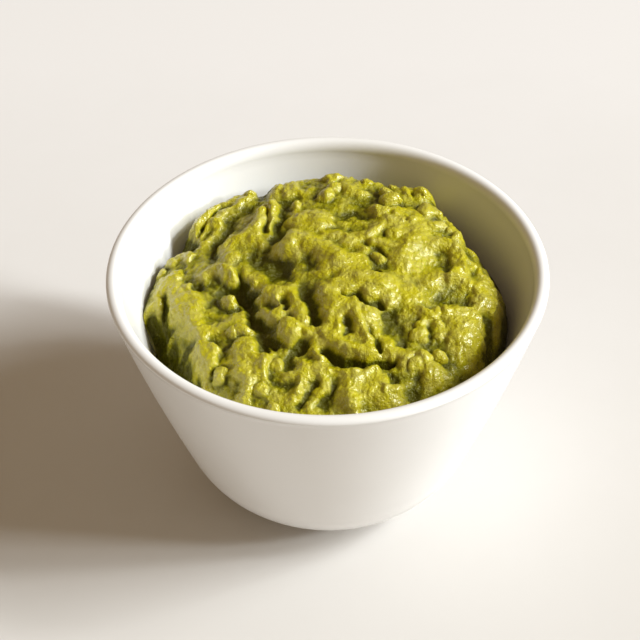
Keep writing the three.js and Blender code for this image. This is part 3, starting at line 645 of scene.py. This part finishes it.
# How the fleck noise turns into saturation
AVOCADO_SATURATION = {"From Min": 0.36, "From Max": 0.7, "To Min": 1.08, "To Max": 0.87}
AVOCADO_SHADER = {
    "Roughness": 0.28,
    "Subsurface Weight": 0.12,
    "Subsurface Radius": (1.0, 0.8, 0.2),
    "Subsurface Scale": 0.0008,
    "Specular IOR Level": 0.45,
    "Specular Tint": (1.0, 0.93, 0.5, 1.0),
    "Coat Roughness": 0.15,
}
CREST_WETNESS, HOLLOW_WETNESS = 0.95, -1.1  # the coat's weight on crests, and what a hollow adds to it
GRAIN_DEPTH, SPARKLE_DEPTH = 0.0006, 0.0002
FLOOR_ROUGHNESS = 0.8
FLOOR_NOISE_SHARE = 0.08  # what the noise adds to the place along y, in metres


def new_material(name):
    """A material with its nodes, its shader and the object's own coordinates."""
    material = bpy.data.materials.new(name)
    material.use_nodes = True
    tree = material.node_tree
    coords = tree.nodes.new("ShaderNodeTexCoord").outputs["Object"]
    return material, tree, tree.nodes["Principled BSDF"], coords


def set_inputs(node, values):
    """Sets a node's inputs by their names."""
    for name, value in values.items():
        node.inputs[name].default_value = value


def linear(red, green, blue):
    """A colour as it looks on screen, 0 to 255, as the renderer's linear numbers."""
    def one(c):
        c /= 255
        return c / 12.92 if c <= 0.04045 else ((c + 0.055) / 1.055) ** 2.4
    return (one(red), one(green), one(blue), 1.0)


def noise_node(tree, coords, scale, detail, roughness):
    """The value of a noise texture."""
    node = tree.nodes.new("ShaderNodeTexNoise")
    set_inputs(node, {"Scale": scale, "Detail": detail, "Roughness": roughness})
    tree.links.new(coords, node.inputs["Vector"])
    return node.outputs["Fac"]


def ramp_node(tree, value, stops):
    """The colour at a value along a ramp."""
    node = tree.nodes.new("ShaderNodeValToRGB")
    elements = node.color_ramp.elements
    while len(elements) < len(stops):
        elements.new(0.5)
    for element, (place, colour) in zip(elements, stops):
        element.position = place
        element.color = linear(*colour)
    tree.links.new(value, node.inputs["Fac"])
    return node.outputs["Color"]


def multiply_add(tree, value, factor, addend, clamp=False):
    """A value times a number, plus a number or another node's value."""
    node = tree.nodes.new("ShaderNodeMath")
    node.operation = "MULTIPLY_ADD"
    node.use_clamp = clamp
    tree.links.new(value, node.inputs[0])
    node.inputs[1].default_value = factor
    if isinstance(addend, float):
        node.inputs[2].default_value = addend
    else:
        tree.links.new(addend, node.inputs[2])
    return node.outputs["Value"]


def bump_node(tree, height, distance):
    """A normal that a height in a texture tilts."""
    node = tree.nodes.new("ShaderNodeBump")
    set_inputs(node, {"Distance": distance, "Strength": 1.0})
    tree.links.new(height, node.inputs["Height"])
    return node.outputs["Normal"]


def porcelain_material():
    """White glaze, which is very slightly wavy."""
    material, tree, shader, coords = new_material("porcelain_glaze")
    tone = noise_node(tree, coords, *GLAZE_TONE_NOISE)
    tree.links.new(ramp_node(tree, tone, GLAZE_COLOURS), shader.inputs["Base Color"])
    shader.inputs["Roughness"].default_value = GLAZE_ROUGHNESS
    waves = noise_node(tree, coords, *GLAZE_WAVE_NOISE)
    tree.links.new(bump_node(tree, waves, GLAZE_WAVE_DEPTH), shader.inputs["Normal"])
    return material


def avocado_colour(tree, coords, hollow_shade):
    """Green with painted shade: paler on crests and darker in hollows, with flecks that are greyer or
    richer.
    """
    tone = noise_node(tree, coords, *AVOCADO_TONE_NOISE)
    green = ramp_node(tree, multiply_add(tree, tone, AVOCADO_TONE_SHARE, hollow_shade), AVOCADO_COLOURS)
    saturation = tree.nodes.new("ShaderNodeMapRange")
    set_inputs(saturation, AVOCADO_SATURATION)
    tree.links.new(noise_node(tree, coords, *AVOCADO_FLECK_NOISE), saturation.inputs["Value"])
    flecked = tree.nodes.new("ShaderNodeHueSaturation")
    tree.links.new(saturation.outputs["Result"], flecked.inputs["Saturation"])
    tree.links.new(green, flecked.inputs["Color"])
    return flecked.outputs["Color"]


def avocado_material():
    """Moist mash: a grainy green body with painted shade in the hollows, under a wet coat that thins out
    there.
    """
    material, tree, shader, coords = new_material("mashed_avocado")
    attribute = tree.nodes.new("ShaderNodeAttribute")
    attribute.attribute_name = "hollow_shade"
    hollow_shade = attribute.outputs["Fac"]
    tree.links.new(avocado_colour(tree, coords, hollow_shade), shader.inputs["Base Color"])
    set_inputs(shader, AVOCADO_SHADER)
    wet = multiply_add(tree, hollow_shade, HOLLOW_WETNESS, CREST_WETNESS, clamp=True)
    tree.links.new(wet, shader.inputs["Coat Weight"])
    fine = noise_node(tree, coords, *AVOCADO_GRAIN_NOISE)
    tree.links.new(bump_node(tree, fine, GRAIN_DEPTH), shader.inputs["Normal"])
    tree.links.new(bump_node(tree, fine, SPARKLE_DEPTH), shader.inputs["Coat Normal"])
    return material


def floor_material():
    """A pale floor with painted shade, a little darker towards the front."""
    material, tree, shader, coords = new_material("pale_floor")
    place = tree.nodes.new("ShaderNodeSeparateXYZ")
    tree.links.new(coords, place.inputs[0])
    mottle = noise_node(tree, coords, *FLOOR_NOISE)
    mixed = multiply_add(tree, mottle, FLOOR_NOISE_SHARE, place.outputs["Y"])
    tree.links.new(ramp_node(tree, mixed, FLOOR_PAINTED_SHADE_COLOURS), shader.inputs["Base Color"])
    shader.inputs["Roughness"].default_value = FLOOR_ROUGHNESS
    return material


# ---------------------------------------------------------------- studio

# Lengths are in metres, unless a comment says otherwise.
# The camera was fitted to the bowl's rim and outline in the photo.
CAMERA_ELEVATION = math.radians(41.64)
CAMERA_ROLL = math.radians(-0.79)
CAMERA_DISTANCE = 0.5686
CAMERA_SHIFT_RIGHT, CAMERA_SHIFT_UP = -0.0022, 0.0158
CAMERA_AIM_HEIGHT = 0.035
CAMERA_LENS, CAMERA_SENSOR = 112.5, 36  # mm
LAMP_DISTANCE = 8.0
LAMP_AIM_HEIGHT = 0.04
LAMP_COLOUR = (0.94, 0.98, 1.0)
# Name, azimuth and elevation, width and height as seen from the bowl, all in degrees, and watts
LAMPS = [
    ("key", -4, 42, 14, 4, 393),
    ("key_high", 5, 47, 8, 6, 96),
    ("key_side", -10, 34, 4, 10, 217),
    ("key_low", -14, 25, 6, 6, 307),
]
WORLD_COLOUR, WORLD_STRENGTH = (1.0, 0.75, 0.48, 1.0), 0.285
FLOOR_REACH = 2.0  # from the middle to each side


def add_camera():
    """The camera of the photo, which looks at the bowl from the front and above."""
    forward = Vector((0, math.cos(CAMERA_ELEVATION), -math.sin(CAMERA_ELEVATION)))
    right = Vector((1, 0, 0))
    up = right.cross(forward)
    place = Vector((0, 0, CAMERA_AIM_HEIGHT)) - forward * CAMERA_DISTANCE
    place += right * CAMERA_SHIFT_RIGHT + up * CAMERA_SHIFT_UP
    turned_right = right * math.cos(CAMERA_ROLL) + up * math.sin(CAMERA_ROLL)
    turned_up = up * math.cos(CAMERA_ROLL) - right * math.sin(CAMERA_ROLL)
    data = bpy.data.cameras.new("camera")
    data.lens = CAMERA_LENS
    data.sensor_width = CAMERA_SENSOR
    camera = bpy.data.objects.new("camera", data)
    rotation = Matrix((turned_right, turned_up, -forward)).transposed()
    camera.matrix_world = Matrix.Translation(place) @ rotation.to_4x4()
    bpy.context.collection.objects.link(camera)
    bpy.context.scene.camera = camera


def add_area_light(name, azimuth, elevation, width, height, power):
    """A lamp that faces the bowl. Azimuth 0 is to the right, and 90 is behind."""
    a, e = math.radians(azimuth), math.radians(elevation)
    towards = Vector((math.cos(a) * math.cos(e), math.sin(a) * math.cos(e), math.sin(e)))
    data = bpy.data.lights.new(name, "AREA")
    data.shape = "RECTANGLE"
    data.size = LAMP_DISTANCE * math.radians(width)
    data.size_y = LAMP_DISTANCE * math.radians(height)
    data.energy = power
    data.color = LAMP_COLOUR
    lamp = bpy.data.objects.new(name, data)
    lamp.location = towards * LAMP_DISTANCE + Vector((0, 0, LAMP_AIM_HEIGHT))
    lamp.rotation_euler = towards.to_track_quat("Z", "Y").to_euler()
    bpy.context.collection.objects.link(lamp)


def add_world():
    """Weak warm light from all around."""
    world = bpy.data.worlds.new("world")
    world.use_nodes = True
    set_inputs(world.node_tree.nodes["Background"], {"Color": WORLD_COLOUR, "Strength": WORLD_STRENGTH})
    bpy.context.scene.world = world


def add_floor(material):
    """The floor under the bowl, which belongs to the studio and not to the part."""
    corners = [(-1, -1), (1, -1), (1, 1), (-1, 1)]
    verts = [(x * FLOOR_REACH, y * FLOOR_REACH, 0) for x, y in corners]
    floor = mesh_object("floor", verts, [(0, 1, 2, 3)], material)


add_camera()
add_floor(floor_material())
for lamp in LAMPS:
    add_area_light(*lamp)
add_world()
bpy.context.scene.view_settings.view_transform = "Standard"

bowl = lathe("porcelain_bowl", bowl_profile(), BOWL_SEGMENTS, porcelain_material())
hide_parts("bowl")
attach(bowl, "root")

heap = heap_object(avocado_material())
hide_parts("guacamole")
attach(heap, "root")
